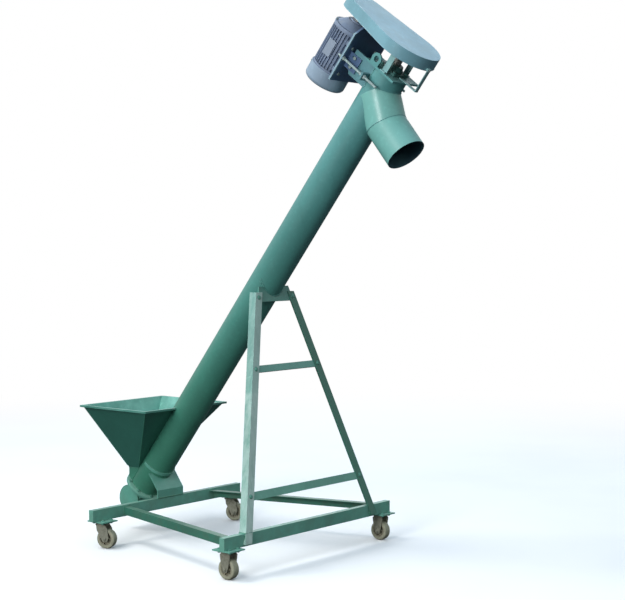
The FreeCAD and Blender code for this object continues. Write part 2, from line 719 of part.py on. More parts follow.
def belt_guard():
    outer = loop_prism(GUARD_R1, GUARD_R2, GUARD_S0, GUARD_S1)
    inner = loop_prism(GUARD_R1 - 2.5, GUARD_R2 - 2.5, GUARD_S0 - 1, GUARD_S1 - 2.5)
    return outer.cut(inner)


def guard_struts():
    """Front strap and two side posts that carry the guard on the head plate."""
    foot = box(70, GUARD_R1 + 15, -14, 14, HEAD_TOP, HEAD_TOP + 5)
    upright = box(GUARD_R1 + 10, GUARD_R1 + 15, -14, 14, HEAD_TOP, GUARD_S0 + 20)
    tab = box(GUARD_R1, GUARD_R1 + 15, -14, 14, GUARD_S0 + 4, GUARD_S0 + 20)
    strap = fuse([foot, upright, tab]).cut(disc(GUARD_R1, 3500, 3700))
    posts = []
    for side in (NEAR, FAR):
        post = fuse([box(0, 40, 100, 105, HEAD_TOP, GUARD_S0 + 30),
                     box(0, 40, 100, 124, HEAD_TOP, HEAD_TOP + 5),
                     box(0, 40, 100, 215, GUARD_S0 + 5, GUARD_S0 + 9)])
        post = post.common(disc(GUARD_R1 - 2.5, 3300, 3700)).cut(disc(DRIVEN_R + 4, GUARD_S0 + 10,
                                                                     3700))
        posts.append(post if side == FAR else mirrored(post))
    return [strap] + posts


def build_head():
    save("head_plate", on_auger(head_plate()))
    save("head_bearing", on_auger(head_bearing()))
    save("motor_bracket_near", motor_bracket(NEAR))
    save("motor_bracket_far", motor_bracket(FAR))
    save("jacking_rods", jacking_rod(-ROD_Y), jacking_rod(ROD_Y))
    save("guide_bolts", *guide_bolts())
    save("belt_guard", on_auger(belt_guard()))
    save("guard_struts", *[on_auger(s) for s in guard_struts()])


# ---------------------------------------------------------------- motor carriage
PLATE_S = (3155.0, 3474.0)
PLATE_TOP_S, PLATE_FAR = 3537.0, 176.0
FOOT_S = (3201.0, 3379.0)
FOOT_Y = 108.0
BARREL_S = (3158.0, 3428.0)
COWL_S0 = 3052.0


def on_motor(shape):
    """Motor coordinates (local z along the motor's axis, at auger station z) to design."""
    return on_auger(moved(shape, -MOTOR_N))


def foot_spots():
    return [(s, side * FOOT_Y) for s in FOOT_S for side in (NEAR, FAR)]


def motor_plate():
    plate = prism([Vector(-PLATE_N, -156, PLATE_S[0]), Vector(-PLATE_N, -156, PLATE_S[1]),
                   Vector(-PLATE_N, -100, PLATE_TOP_S), Vector(-PLATE_N, PLATE_FAR, PLATE_TOP_S),
                   Vector(-PLATE_N, PLATE_FAR, PLATE_S[0])], Vector(-PLATE_T, 0, 0))
    cheeks = []
    for side in (NEAR, FAR):
        cheek = box(-PLATE_N, -160, EAR_Y + EAR_T + 0.5, EAR_Y + EAR_T + 8.5,
                    SLOT_S[0] - 22, SLOT_S[1] + 18)
        for s in SLOT_S:
            slot = box(-SLOT_N - TRAVEL - 1, -SLOT_N, 0, 200, s - 6.5, s + 6.5)
            ends = [rod(6.5, Vector(x, 0, s), Y, 200) for x in (-SLOT_N, -SLOT_N - TRAVEL - 1)]
            cheek = cheek.cut(fuse([slot] + ends))
        cheeks.append(cheek if side == FAR else mirrored(cheek))
    holes = [rod(ROD_R + 0.6, Vector(0, y, ROD_S), -X, 400) for y in (-ROD_Y, ROD_Y)]
    holes += [rod(M10 + HOLE_GAP, Vector(0, y, s), -X, 400) for s, y in foot_spots()]
    return on_auger(cut_all(fuse([plate] + cheeks), holes))


def carriage_fasteners():
    """Nuts on the jacking rods and the motor's foot bolts."""
    pieces = []
    for y in (-ROD_Y, ROD_Y):
        for x0, x1 in ((-PLATE_N, -PLATE_N + 13), (-PLATE_N - PLATE_T - 13,
                                                   -PLATE_N - PLATE_T)):
            nut = turned(hexagon(24, x0, x1).cut(disc(ROD_R + RUN_GAP, x0 - 1, x1 + 1)), Y, 90)
            pieces.append(on_auger(moved(nut, 0, y, ROD_S)))
    for s, y in foot_spots():
        screw = bolt(M10, M10_HEAD, M10_FLATS, PLATE_T + 18, 8.0)
        pieces.append(on_auger(moved(turned(screw, Y, -90), -PLATE_N, y, s)))
    return pieces


FOOT_N = MOTOR_N - PLATE_N - PLATE_T      # shaft height over the feet


def motor_frame():
    """Finned barrel with cast feet."""
    barrel = disc(112, *BARREL_S)
    fins = [turned(box(108, 124, -1.6, 1.6, BARREL_S[0] + 8, BARREL_S[1] - 8), Z, 10.0 * i + 5)
            for i in range(36)]
    collars = [disc(123, BARREL_S[0], BARREL_S[0] + 9), disc(123, BARREL_S[1] - 9, BARREL_S[1])]
    feet = []
    for s in FOOT_S:
        for side in (NEAR, FAR):
            pad = box(FOOT_N - 18, FOOT_N, 62, 132, s - 22, s + 22)
            web = box(60, FOOT_N - 1, 66, 96, s - 14, s + 14)
            foot = fuse([pad, web])
            feet.append(foot if side == FAR else mirrored(foot))
    body = fuse([barrel] + collars + fins + feet)
    body = body.cut(box(FOOT_N, 300, -300, 300, 3000, 3600))
    holes = [rod(M10 + HOLE_GAP, Vector(60, y, s), X, 200) for s, y in foot_spots()]
    nut_space = [rod(12, Vector(90, y, s), X, FOOT_N - 18 - 90) for s, y in foot_spots()]
    return cut_all(body, holes + nut_space + [disc(72, 3000, 3600)])


def drive_shield():
    """Domed end shield on the pulley side."""
    flange = disc(126, BARREL_S[1], BARREL_S[1] + 16)
    dome = Part.makeCone(114, 62, 44, Vector(0, 0, BARREL_S[1] + 14))
    boss = disc(46, BARREL_S[1] + 50, BARREL_S[1] + 66)
    hollow = Part.makeCone(106, 52, 40, Vector(0, 0, BARREL_S[1] - 1))
    shield = fuse([flange, dome, boss])
    return cut_all(shield, [hollow, disc(MOTOR_SHAFT_R + RUN_GAP, 3000, 3600)])


def fan_shield():
    flange = disc(MOTOR_R - 3, BARREL_S[0] - 16, BARREL_S[0])
    dish = disc(100, BARREL_S[0] - 10, BARREL_S[0] + 1)
    return flange.cut(dish).cut(disc(15 + RUN_GAP, 3000, 3600))


def fan_cowl():
    """Pressed cowl over the cooling fan, slotted at its end."""
    top = BARREL_S[0] - 2
    cup = disc(MOTOR_R, COWL_S0, top)
    rims = [e for e in cup.Edges if abs(e.BoundBox.ZMax - COWL_S0) < 0.01 and e.Closed]
    cup = cup.makeFillet(26.0, rims)
    hollow = disc(MOTOR_R - 3, COWL_S0 + 3, top + 1)
    rims = [e for e in hollow.Edges if abs(e.BoundBox.ZMax - COWL_S0 - 3) < 0.01 and e.Closed]
    hollow = hollow.makeFillet(23.0, rims)
    slot = box(34, 98, -3, 3, COWL_S0 - 1, COWL_S0 + 4)
    return cut_all(cup.cut(hollow), [turned(slot, Z, 20.0 * i) for i in range(18)])


BOX_SIZE = (64.0, 90.0, 62.0)
BOX_S = 3290.0
GLAND_Y, GLAND_R = 142.0, 16.0


def terminal_box():
    """Cast box on the barrel's far side, hollow, with its lid screwed on."""
    wide, tall, deep = BOX_SIZE
    middle = BOX_S
    body = box(-wide, wide - 30, 108, 108 + deep, middle - tall / 2, middle + tall / 2)
    hollow = box(-wide + 4, wide - 34, 128, 104 + deep, middle - tall / 2 + 4,
                 middle + tall / 2 - 4)
    lid = box(-wide - 4, wide - 26, 108 + deep, 116 + deep, middle - tall / 2 - 4,
              middle + tall / 2 + 4)
    barrel_space = disc(124.5, 3000, 3600)
    bore = rod(GLAND_R, Vector(-wide - 1, GLAND_Y, middle), X, 6)
    shell = body.cut(hollow).cut(barrel_space).cut(bore)
    return [shell, lid]


def cable_gland():
    """Screwed gland in the box's upper side wall."""
    nut = hexagon(34, 0, 12)
    neck = disc(GLAND_R - 0.5, -4, 1)
    dome = Part.makeCone(14, 10, 14, Vector(0, 0, 11))
    gland = turned(fuse([nut, neck, dome]).cut(disc(6.5, -20, 40)), Y, -90)
    return moved(gland, -BOX_SIZE[0], GLAND_Y, BOX_S)


def motor_shaft():
    rotor = disc(70.5, 3185, 3400)
    slim = disc(15, 3078, 3185)
    thick = disc(MOTOR_SHAFT_R, 3185, 3604)
    return fuse([rotor, slim, thick])


def cooling_fan():
    hub = disc(26, 3080, 3122)
    back = disc(112, 3118, 3122)
    blades = [turned(box(22, 112, -1.5, 1.5, 3084, 3119), Z, 45 * i) for i in range(8)]
    return fuse([hub, back] + blades).cut(disc(15, 3000, 3200))


def build_motor():
    save("motor_plate", motor_plate())
    save("carriage_fasteners", *carriage_fasteners())
    save("motor_frame", on_motor(motor_frame()))
    save("motor_drive_shield", on_motor(drive_shield()))
    save("motor_fan_shield", on_motor(fan_shield()))
    save("fan_cowl", on_motor(fan_cowl()))
    save("terminal_box", *[on_motor(s) for s in terminal_box()])
    save("cable_gland", on_motor(cable_gland()))
    save("motor_shaft", on_motor(motor_shaft()))
    save("drive_pulley", on_motor(v_pulley(DRIVE_R, 32, MOTOR_SHAFT_R, 24, *PULLEY_Z)))
    save("cooling_fan", on_motor(cooling_fan()))


os.makedirs("parts", exist_ok=True)
build_frame()
build_tower()
build_lower_end()
build_screw()
build_head()
build_motor()
whole = Part.makeCompound(list(saved.values())).BoundBox
print("nodes", len(saved), "x", whole.XMin, whole.XMax, "y", whole.YMin, whole.YMax,
      "z", whole.ZMin, whole.ZMax)
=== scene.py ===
import json
import math
import random

import bmesh
import bpy
from mathutils import Matrix, Vector


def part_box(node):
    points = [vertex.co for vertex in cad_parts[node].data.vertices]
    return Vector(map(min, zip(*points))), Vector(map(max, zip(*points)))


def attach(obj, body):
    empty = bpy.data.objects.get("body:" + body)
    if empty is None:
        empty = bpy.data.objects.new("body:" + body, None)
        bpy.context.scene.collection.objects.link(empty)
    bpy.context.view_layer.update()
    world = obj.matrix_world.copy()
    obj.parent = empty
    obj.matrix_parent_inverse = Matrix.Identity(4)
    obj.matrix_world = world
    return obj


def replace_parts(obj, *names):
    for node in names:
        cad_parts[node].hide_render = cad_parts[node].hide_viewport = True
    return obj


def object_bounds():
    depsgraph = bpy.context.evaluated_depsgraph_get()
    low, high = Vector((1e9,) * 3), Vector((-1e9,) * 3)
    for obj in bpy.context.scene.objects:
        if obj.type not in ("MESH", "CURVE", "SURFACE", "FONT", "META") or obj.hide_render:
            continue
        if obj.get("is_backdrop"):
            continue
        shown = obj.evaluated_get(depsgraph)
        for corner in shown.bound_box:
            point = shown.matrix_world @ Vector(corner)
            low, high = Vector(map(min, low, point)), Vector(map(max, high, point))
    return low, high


# Inclined screw conveyor (grain auger) on a castered frame: finishes, welds, threads and the
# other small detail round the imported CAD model.  Metres, row frame, +Z up.

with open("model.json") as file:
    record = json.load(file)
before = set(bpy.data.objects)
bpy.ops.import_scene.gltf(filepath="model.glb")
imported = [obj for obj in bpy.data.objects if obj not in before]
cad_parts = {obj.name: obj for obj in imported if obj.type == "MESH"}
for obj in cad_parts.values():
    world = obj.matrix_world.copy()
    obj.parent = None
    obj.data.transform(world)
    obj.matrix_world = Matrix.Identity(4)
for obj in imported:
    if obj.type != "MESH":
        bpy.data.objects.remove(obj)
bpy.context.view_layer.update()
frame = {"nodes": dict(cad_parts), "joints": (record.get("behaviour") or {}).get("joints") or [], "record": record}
nodes = frame["nodes"]
random.seed(7)

joints = {j["name"]: j for j in frame["joints"]}
AUGER_AXIS = Vector(joints["screw_spin"]["axis"])
AUGER_UP = Vector((-AUGER_AXIS.z, 0, AUGER_AXIS.x))
JOINT_STATION = 1.7       # the record's screw joint lies this far up the auger's axis
AUGER_START = Vector(joints["screw_spin"]["pos_m"]) - AUGER_AXIS * JOINT_STATION


def at(s, n=0.0, y=0.0):
    """A point s up the auger's axis, n above it and y across."""
    return AUGER_START + AUGER_AXIS * s + AUGER_UP * n + Vector((0, y, 0))


# ---------------------------------------------------------------- camera
CAMERA_PLACE = (6.1671, -6.7848, 1.9672)
CAMERA_YAW, CAMERA_PITCH, CAMERA_ROLL = 40.2655, -2.2254, -0.3299
CAMERA_LENS = 82.49


def make_camera():
    yaw, pitch, roll = (math.radians(v) for v in (CAMERA_YAW, CAMERA_PITCH, CAMERA_ROLL))
    ahead = Vector((-math.sin(yaw) * math.cos(pitch), math.cos(yaw) * math.cos(pitch),
                    math.sin(pitch)))
    level = Vector((math.cos(yaw), math.sin(yaw), 0))
    upright = level.cross(ahead)
    right = level * math.cos(roll) + upright * math.sin(roll)
    up = upright * math.cos(roll) - level * math.sin(roll)
    camera = bpy.data.objects.new("camera", bpy.data.cameras.new("camera"))
    camera.data.sensor_width = 36
    camera.data.lens = CAMERA_LENS
    camera.data.clip_end = 300
    turn = Matrix((right, up, -ahead)).transposed().to_4x4()
    camera.matrix_world = Matrix.Translation(CAMERA_PLACE) @ turn
    bpy.context.scene.collection.objects.link(camera)
    bpy.context.scene.camera = camera


make_camera()


# ---------------------------------------------------------------- finishes
class Finish:
    """A node material being built: each call adds a node and returns its output socket."""

    def __init__(self, name):
        self.material = bpy.data.materials.new(name)
        self.material.use_nodes = True
        self.tree = self.material.node_tree
        self.tree.nodes.clear()
        self.shader = self.add("BsdfPrincipled")
        self.output = self.add("OutputMaterial")
        self.put(self.output.inputs["Surface"], self.shader.outputs[0])
        self.place = self.add("TexCoord").outputs["Object"]
        self.geometry = self.add("NewGeometry")
        self.bumps = None

    def add(self, kind, **inputs):
        node = self.tree.nodes.new("ShaderNode" + kind)
        for name, value in inputs.items():
            self.put(node.inputs[name.replace("_", " ")], value)
        return node

    def put(self, socket, value):
        if isinstance(value, bpy.types.NodeSocket):
            self.tree.links.new(value, socket)
        else:
            socket.default_value = value

    def set(self, **inputs):
        for name, value in inputs.items():
            self.put(self.shader.inputs[name.replace("_", " ")], value)

    def stretched(self, x, y, z):
        return self.add("Mapping", Vector=self.place, Scale=(x, y, z)).outputs[0]

    def noise(self, scale, detail=3.0, rough=0.5, place=None):
        node = self.add("TexNoise", Vector=place or self.place, Scale=scale, Detail=detail,
                        Roughness=rough)
        return node.outputs["Fac"]

    def span(self, value, low, high, to_low=0.0, to_high=1.0):
        """A value eased from one range, low to high, into another."""
        node = self.tree.nodes.new("ShaderNodeMapRange")
        node.interpolation_type = "SMOOTHSTEP"
        for i, v in enumerate((value, low, high, to_low, to_high)):
            self.put(node.inputs[i], v)
        return node.outputs[0]

    def line_distance(self, start, way):
        """How far a point lies from a line."""
        away = self.vector("SUBTRACT", self.place, tuple(start)).outputs[0]
        square = self.vector("CROSS_PRODUCT", away, tuple(way)).outputs[0]
        return self.vector("LENGTH", square).outputs["Value"]

    def vector(self, operation, a, b=(0, 0, 0)):
        node = self.tree.nodes.new("ShaderNodeVectorMath")
        node.operation = operation
        self.put(node.inputs[0], a)
        self.put(node.inputs[1], b)
        return node

    def math(self, operation, a, b=0.0):
        node = self.tree.nodes.new("ShaderNodeMath")
        node.operation = operation
        self.put(node.inputs[0], a)
        self.put(node.inputs[1], b)
        return node.outputs[0]

    def mix(self, factor, a, b):
        node = self.tree.nodes.new("ShaderNodeMix")
        node.data_type = "RGBA"
        self.put(node.inputs[0], factor)
        self.put(node.inputs[6], a)
        self.put(node.inputs[7], b)
        return node.outputs[2]

    def part(self, axis, vector=None):
        """One axis of a vector, or of the point's place."""
        node = self.add("SeparateXYZ", Vector=vector or self.place)
        return node.outputs["XYZ".index(axis)]

    def facing(self, axis, low, high):
        """0 to 1 as a face's normal turns towards an axis."""
        return self.span(self.part(axis, self.geometry.outputs["Normal"]), low, high)

    def dusty(self, scale, detail, rough, low, high):
        """Patches of dust on upward faces."""
        patches = self.span(self.noise(scale, detail, rough), low, high)
        return self.math("MULTIPLY", self.facing("Z", 0.35, 0.95), patches)

    def edges(self, radius=0.003):
        """1 on the outer edges of a shape and 0 on its faces."""
        bevel = self.tree.nodes.new("ShaderNodeBevel")
        bevel.samples = 6
        bevel.inputs["Radius"].default_value = radius
        dot = self.vector("DOT_PRODUCT", bevel.outputs[0], self.geometry.outputs["Normal"])
        return self.span(dot.outputs["Value"], 0.99, 0.80)

    def bump(self, height, strength, distance):
        node = self.add("Bump", Height=height, Strength=strength, Distance=distance)
        if self.bumps is not None:
            self.put(node.inputs["Normal"], self.bumps)
        self.bumps = node.outputs[0]
        self.put(self.shader.inputs["Normal"], self.bumps)


def rgb(red, green, blue):
    """An sRGB colour, 0 to 255, as the linear colour a shader takes."""
    def linear(v):
        v = v / 255
        return v / 12.92 if v <= 0.04045 else ((v + 0.055) / 1.055) ** 2.4
    return (linear(red), linear(green), linear(blue), 1.0)


def shade(colour, factor):
    return tuple(min(1.0, c * factor) for c in colour[:3]) + (1.0,)


BARE_STEEL = rgb(150, 152, 150)
RUST = rgb(92, 58, 38)
DUST = rgb(178, 176, 160)
MUD = rgb(96, 92, 78)
CHALK_TOP = 1.060         # height up to which the near leg's paint has chalked
PLATE_EDGE_Y = (-0.140, -0.153)    # the motor plate's lighter near-edge strip fades in between these


def plain(colour):
    """Paint of one colour, a little uneven."""
    return lambda f: f.mix(f.span(f.noise(1.3, 2), 0.3, 0.7), shade(colour, 0.94), colour)


def rising(low, high):
    """Paint that changes from one colour near the floor to another at the head; the lighter, bluer head colour is
    painted sky reflection.
    """
    return lambda f: f.mix(f.span(f.part("Z"), 0.3, 3.0), low, high)


def hopper_paint(f):
    """Dark green outside; the inside faces, which look upward, are painted paler in uneven patches as painted
    light.
    """
    inside = f.facing("Z", -0.15, 0.2)
    rubbed_and_lit = f.mix(f.span(f.noise(5, 4, 0.6), 0.35, 0.65), rgb(92, 160, 146), rgb(128, 192, 178))
    return f.mix(inside, rgb(50, 112, 98), rubbed_and_lit)


def guard_paint(f):
    """Blue-grey sheet, painted lighter on its upward face as painted sky light."""
    top = f.facing("Z", 0.64, 0.76)
    lit_top = f.mix(f.span(f.noise(3.5, 4, 0.6), 0.35, 0.7), rgb(158, 200, 218), rgb(178, 214, 228))
    return f.mix(top, rgb(116, 164, 178), lit_top)


def plate_paint(f):
    """Plate painted dark navy as painted shade, turning a lighter grey-blue along its near edge."""
    edge = f.span(f.part("Y"), *PLATE_EDGE_Y)
    return f.mix(edge, rgb(76, 102, 138), rgb(134, 164, 178))


def spout_paint(f):
    """Pale glossy green outside, its paleness partly a painted highlight; inside it is painted dark as painted
    shade.
    """
    ahead = f.vector("DOT_PRODUCT", f.vector("SUBTRACT", f.place, tuple(MITRE)).outputs[0],
                     tuple(MITRE_WAY)).outputs["Value"]
    inside = [f.math("LESS_THAN", f.line_distance(MITRE, way), SPOUT_R - SPOUT_SKIN)
              for way in (FIRST, SECOND)]
    past_mitre = f.math("GREATER_THAN", ahead, 0.0)
    within = f.mix(past_mitre, *inside)
    inner_shade = f.mix(f.span(f.noise(9, 4, 0.6), 0.35, 0.7), rgb(52, 84, 98), rgb(74, 112, 120))
    outer = f.mix(f.span(f.noise(1.6, 2), 0.3, 0.7), rgb(112, 176, 168), rgb(122, 184, 178))
    return f.mix(within, outer, inner_shade)


def weathered_paint(f):
    """Green paint that has chalked and run to a pale grey-green, mostly below the leg's middle; its green is also
    painted lighter than the frame's, as painted light on this near leg.
    """
    streak = f.noise(34, 5, 0.65, f.stretched(1.0, 1.0, 0.10))
    green = f.mix(f.span(f.part("Z"), 0.3, 1.8), rgb(124, 172, 158), rgb(108, 158, 150))
    ragged = f.math("ADD", f.part("Z"), f.math("MULTIPLY", f.noise(34, 3), 0.03))
    below = f.span(ragged, CHALK_TOP + 0.025, CHALK_TOP)
    amount = f.math("MULTIPLY", f.span(streak, 0.30, 0.62), f.span(below, 0, 1, 0.35, 0.90))
    chalked = f.mix(amount, green, rgb(168, 198, 190))
    # painted light: the flange that faces forward is painted lighter than the other
    lit_flange = f.mix(0.35, chalked, rgb(206, 226, 218))
    return f.mix(f.facing("X", 0.5, 0.9), chalked, lit_flange)


def enamel(name, paint, gloss=0.3, wear=0.5, wavy=1.0, dirt=1.0):
    """Brushed and sprayed machine enamel: uneven colour, worn edges, dust and grime."""
    f = Finish(name)
    colour = paint(f)
    broad = f.noise(2.2, 3)
    colour = f.mix(f.span(broad, 0.35, 0.7), shade_mix(f, colour, 0.86), colour)
    fine = f.noise(38, 4, 0.6)
    colour = f.mix(f.span(fine, 0.5, 0.75, 0.0, 0.35), colour, shade_mix(f, colour, 1.35))
    runs = f.noise(9, 4, 0.55, f.stretched(1.0, 1.0, 0.16))
    colour = f.mix(f.span(runs, 0.52, 0.78, 0.0, 0.28 * dirt), colour, shade_mix(f, colour, 0.62))
    near_floor = f.span(f.part("Z"), 0.42, 0.1)
    splashed = f.math("MULTIPLY", near_floor, f.span(f.noise(14, 5), 0.35, 0.7))
    colour = f.mix(f.math("MULTIPLY", splashed, 0.3 * dirt), colour, MUD)
    dust = f.dusty(11, 5, 0.65, 0.3, 0.75)
    colour = f.mix(f.math("MULTIPLY", dust, 0.22 * dirt), colour, DUST)
    edge = f.edges(0.0035)
    rubbed_and_lit = f.math("MULTIPLY", edge, f.span(f.noise(26, 4, 0.6), 0.42, 0.62))
    colour = f.mix(f.math("MULTIPLY", rubbed_and_lit, 0.55 * wear), colour, shade_mix(f, colour, 1.9))
    chip = f.math("MULTIPLY", edge, f.span(f.noise(70, 3, 0.6), 0.60, 0.66))
    chip = f.math("MULTIPLY", chip, wear)
    colour = f.mix(chip, colour, f.mix(f.span(f.noise(120, 2), 0.45, 0.6), BARE_STEEL, RUST))
    scratch = f.noise(18, 2, 0.5, f.stretched(1.0, 7.0, 1.0))
    scratch = f.math("MULTIPLY", f.span(scratch, 0.735, 0.755), 0.35 * wear)
    colour = f.mix(scratch, colour, shade_mix(f, colour, 1.7))
    rough = f.span(f.noise(7, 4, 0.6), 0.3, 0.75, gloss, gloss + 0.14)
    rough = f.math("ADD", rough, f.math("MULTIPLY", dust, 0.25))
    rough = f.math("ADD", rough, f.math("MULTIPLY", chip, 0.25))
    f.set(Base_Color=colour, Roughness=rough, Specular_IOR_Level=0.5, Coat_Weight=0.25,
          Coat_Roughness=gloss * 0.6)
    f.bump(f.noise(5.5, 2, 0.4), 0.25 * wavy, 0.006)
    f.bump(f.noise(420, 2, 0.5), 0.08, 0.0004)
    f.bump(f.math("SUBTRACT", 1.0, chip), 0.5, 0.0004)
    return f.material


def shade_mix(f, colour, factor):
    """colour, a socket or a plain colour, multiplied by a number."""
    if not isinstance(colour, bpy.types.NodeSocket):
        colour = colour[:3]
    node = f.vector("SCALE", colour)
    f.put(node.inputs["Scale"], factor)
    return node.outputs[0]


def plated(name, colour, rough=0.34, tarnish=0.5, metal=0.95):
    """Zinc-plated or bare steel, tarnished in patches, with fine marks from handling."""
    f = Finish(name)
    patch = f.span(f.noise(55, 4, 0.6), 0.4, 0.7)
    tint = f.mix(f.math("MULTIPLY", patch, tarnish), colour, shade(colour, 0.55))
    rust = f.math("MULTIPLY", f.span(f.noise(90, 4, 0.65), 0.62, 0.72), tarnish * 0.7)
    tint = f.mix(rust, tint, RUST)
    marks = f.noise(300, 2)
    tint = f.mix(f.span(marks, 0.4, 0.7, 0.0, 0.3), tint, shade(colour, 1.2))
    f.set(Base_Color=tint, Metallic=f.math("MULTIPLY", metal, f.span(rust, 0, 1, 1.0, 0.15)),
          Roughness=f.math("ADD", f.span(patch, 0, 1, rough, rough + 0.2),
                           f.math("MULTIPLY", rust, 0.3)))
    f.bump(marks, 0.15, 0.0004)
    return f.material


def casting(name, colour, gloss=0.42, grain=1.0, worn=0.4):
    """Painted casting: sandy skin under the enamel, dust on upward faces, rubbed corners."""
    f = Finish(name)
    tone = f.mix(f.span(f.noise(12, 4), 0.35, 0.7), shade(colour, 0.8), colour)
    tone = f.mix(f.span(f.noise(60, 3), 0.5, 0.8, 0.0, 0.4), tone, shade(colour, 1.3))
    edge = f.edges(0.002)
    rubbed_and_lit = f.math("MULTIPLY", edge, f.span(f.noise(40, 4, 0.6), 0.45, 0.65))
    tone = f.mix(f.math("MULTIPLY", rubbed_and_lit, worn), tone, shade(colour, 2.4))
    dust = f.dusty(20, 4, 0.5, 0.35, 0.7)
    tone = f.mix(f.math("MULTIPLY", dust, 0.25), tone, DUST)
    f.set(Base_Color=tone, Roughness=f.span(f.noise(30, 3), 0.3, 0.7, gloss, gloss + 0.15),
          Specular_IOR_Level=0.5)
    f.bump(f.noise(260, 3, 0.6), 0.35 * grain, 0.0012)
    return f.material


def rubber(name, colour, scuff, rough=0.72, dirt=0.6):
    """Moulded rubber, scuffed and floured with dust from the floor."""
    f = Finish(name)
    tone = f.mix(f.span(f.noise(28, 5, 0.6), 0.35, 0.7), colour, shade(colour, 1.35))
    scuffs = f.span(f.noise(60, 4, 0.7, f.stretched(1, 1, 0.4)), 0.55, 0.72)
    tone = f.mix(f.math("MULTIPLY", scuffs, dirt), tone, scuff)
    f.set(Base_Color=tone, Roughness=f.span(scuffs, 0, 1, rough, min(1.0, rough + 0.2)),
          Specular_IOR_Level=0.35)
    f.bump(f.noise(500, 3, 0.6), 0.3, 0.0006)
    return f.material


def plastic(name, colour, rough=0.5):
    f = Finish(name)
    tone = f.mix(f.span(f.noise(35, 4), 0.4, 0.7), colour, shade(colour, 1.5))
    f.set(Base_Color=tone, Roughness=f.span(f.noise(18, 3), 0.3, 0.7, rough, rough + 0.15))
    f.bump(f.noise(900, 2), 0.2, 0.0003)
    return f.material


# painted reflection: the frame's green turns lighter and bluer up towards the head, standing in for the sky's
# light on the upper parts
GREEN = rising(rgb(62, 130, 108), rgb(84, 146, 146))
finishes = {
    "frame_paint": enamel("frame_enamel", GREEN, gloss=0.40),
    "guard_paint": enamel("guard_enamel", guard_paint, gloss=0.36, wear=0.4),
    "fastener_steel": plated("zinc_plate", rgb(150, 168, 166), 0.42, 0.35, 0.55),
    "bearing_iron": casting("bearing_casting", rgb(58, 108, 104)),
    "screw_steel": plated("grain_polished_steel", rgb(158, 156, 150), 0.26, 0.35),
    "pulley_iron": casting("pulley_iron", rgb(84, 88, 92), 0.38),
    "belt_rubber": rubber("belt_rubber", rgb(30, 30, 31), rgb(84, 82, 78)),
    "motor_iron": casting("motor_casting", rgb(126, 142, 166), 0.4),
    "motor_sheet": enamel("motor_sheet_enamel", plain(rgb(146, 168, 188)), gloss=0.34, wear=0.3),
    "gland_plastic": plastic("gland_nylon", rgb(34, 34, 36)),
    "fan_plastic": plastic("fan_nylon", rgb(40, 40, 43)),
    "caster_zinc": plated("caster_zinc", rgb(150, 150, 134), 0.5, 0.7, 0.35),
    "wheel_core": casting("wheel_casting", rgb(152, 148, 128), 0.55),
    "wheel_tyre": rubber("tyre_rubber", rgb(146, 146, 126), rgb(184, 182, 162)),
}
# the spout: outer radius, where it leaves the auger's axis, and its first length to the mitre
SPOUT_R, SPOUT_S, SPOUT_RUN = 0.1225, 3.2495, 0.202
SPOUT_SKIN = 0.0015       # a point deeper than this below the outside lies inside the spout
FIRST_DROP, SECOND_DROP = 75.4, 51.5


def heading(drop):
    """The way forward and down, drop degrees below level."""
    t = math.radians(drop)
    return Vector((math.cos(t), 0, -math.sin(t)))


FIRST, SECOND = heading(FIRST_DROP), heading(SECOND_DROP)
MITRE = at(SPOUT_S) + FIRST * SPOUT_RUN
MITRE_WAY = (FIRST + SECOND).normalized()
# painted shade: a darker copy of the frame's green for the far leg and the side rails
shaded_green = enamel("shaded_enamel", plain(rgb(62, 122, 104)))
# painted light: lighter copies of the frame's green for the cross beams, low tie and pads, and for the tube's
# lower end, stand in for the light falling on them
lit_beam_green = enamel("beam_enamel", plain(rgb(110, 174, 156)), gloss=0.3)
lit_end_green = enamel("lower_end_enamel", plain(rgb(100, 168, 150)), gloss=0.3)
painted_bolts = casting("painted_bolts", rgb(92, 152, 136), 0.4, 0.3, 0.7)
# painted shade: the motor plate's dark navy stands in for the shade under the motor and guard
navy = enamel("carriage_enamel", plate_paint, gloss=0.34, wear=0.7)
variants = {
    "tower_leg_near": enamel("weathered_enamel", weathered_paint, gloss=0.38, wear=0.9),
    "tower_leg_far": shaded_green,
    "side_rail_near": shaded_green,
    "side_rail_far": shaded_green,
    # painted light: the middle tie takes a lighter copy of the frame's green
    "tower_mid_tie": enamel("tie_enamel", plain(rgb(112, 174, 160))),
    "tower_low_tie": lit_beam_green,
    "rear_beam": lit_beam_green,
    "front_beam": lit_beam_green,
    "caster_pads": lit_beam_green,
    "tube_saddle": enamel("saddle_enamel", plain(rgb(78, 140, 128))),
    "lower_support": lit_end_green,
    "lower_band": lit_end_green,
    # painted light: the tail flange takes a lighter copy of the frame's green
    "tail_flange": enamel("flange_enamel", plain(rgb(128, 190, 172)), gloss=0.3),
    "tail_cover": lit_end_green,
    "tail_bolts": painted_bolts,
    "tower_bolts": painted_bolts,
    "caster_bolts": painted_bolts,
    "tail_drum": lit_end_green,
    "spout": enamel("spout_enamel", spout_paint, gloss=0.34, dirt=0.2),
    "guard_struts": enamel("strut_enamel", plain(rgb(132, 178, 180))),
    "hopper": enamel("hopper_enamel", hopper_paint, gloss=0.33),
    "motor_plate": navy,
    # painted shade: the motor's ears take a blue-green that stands in for the shade under the motor plate
    "motor_bracket_near": enamel("ear_enamel", plain(rgb(92, 142, 150))),
    "motor_bracket_far": enamel("ear_far_enamel", plain(rgb(92, 142, 150))),
}

slots = {part["node"]: part["material_slot"] for part in frame["record"]["subparts"]}
for name, node in nodes.items():
    for slot in node.material_slots:
        slot.material = variants.get(name) or finishes[slots[name]]


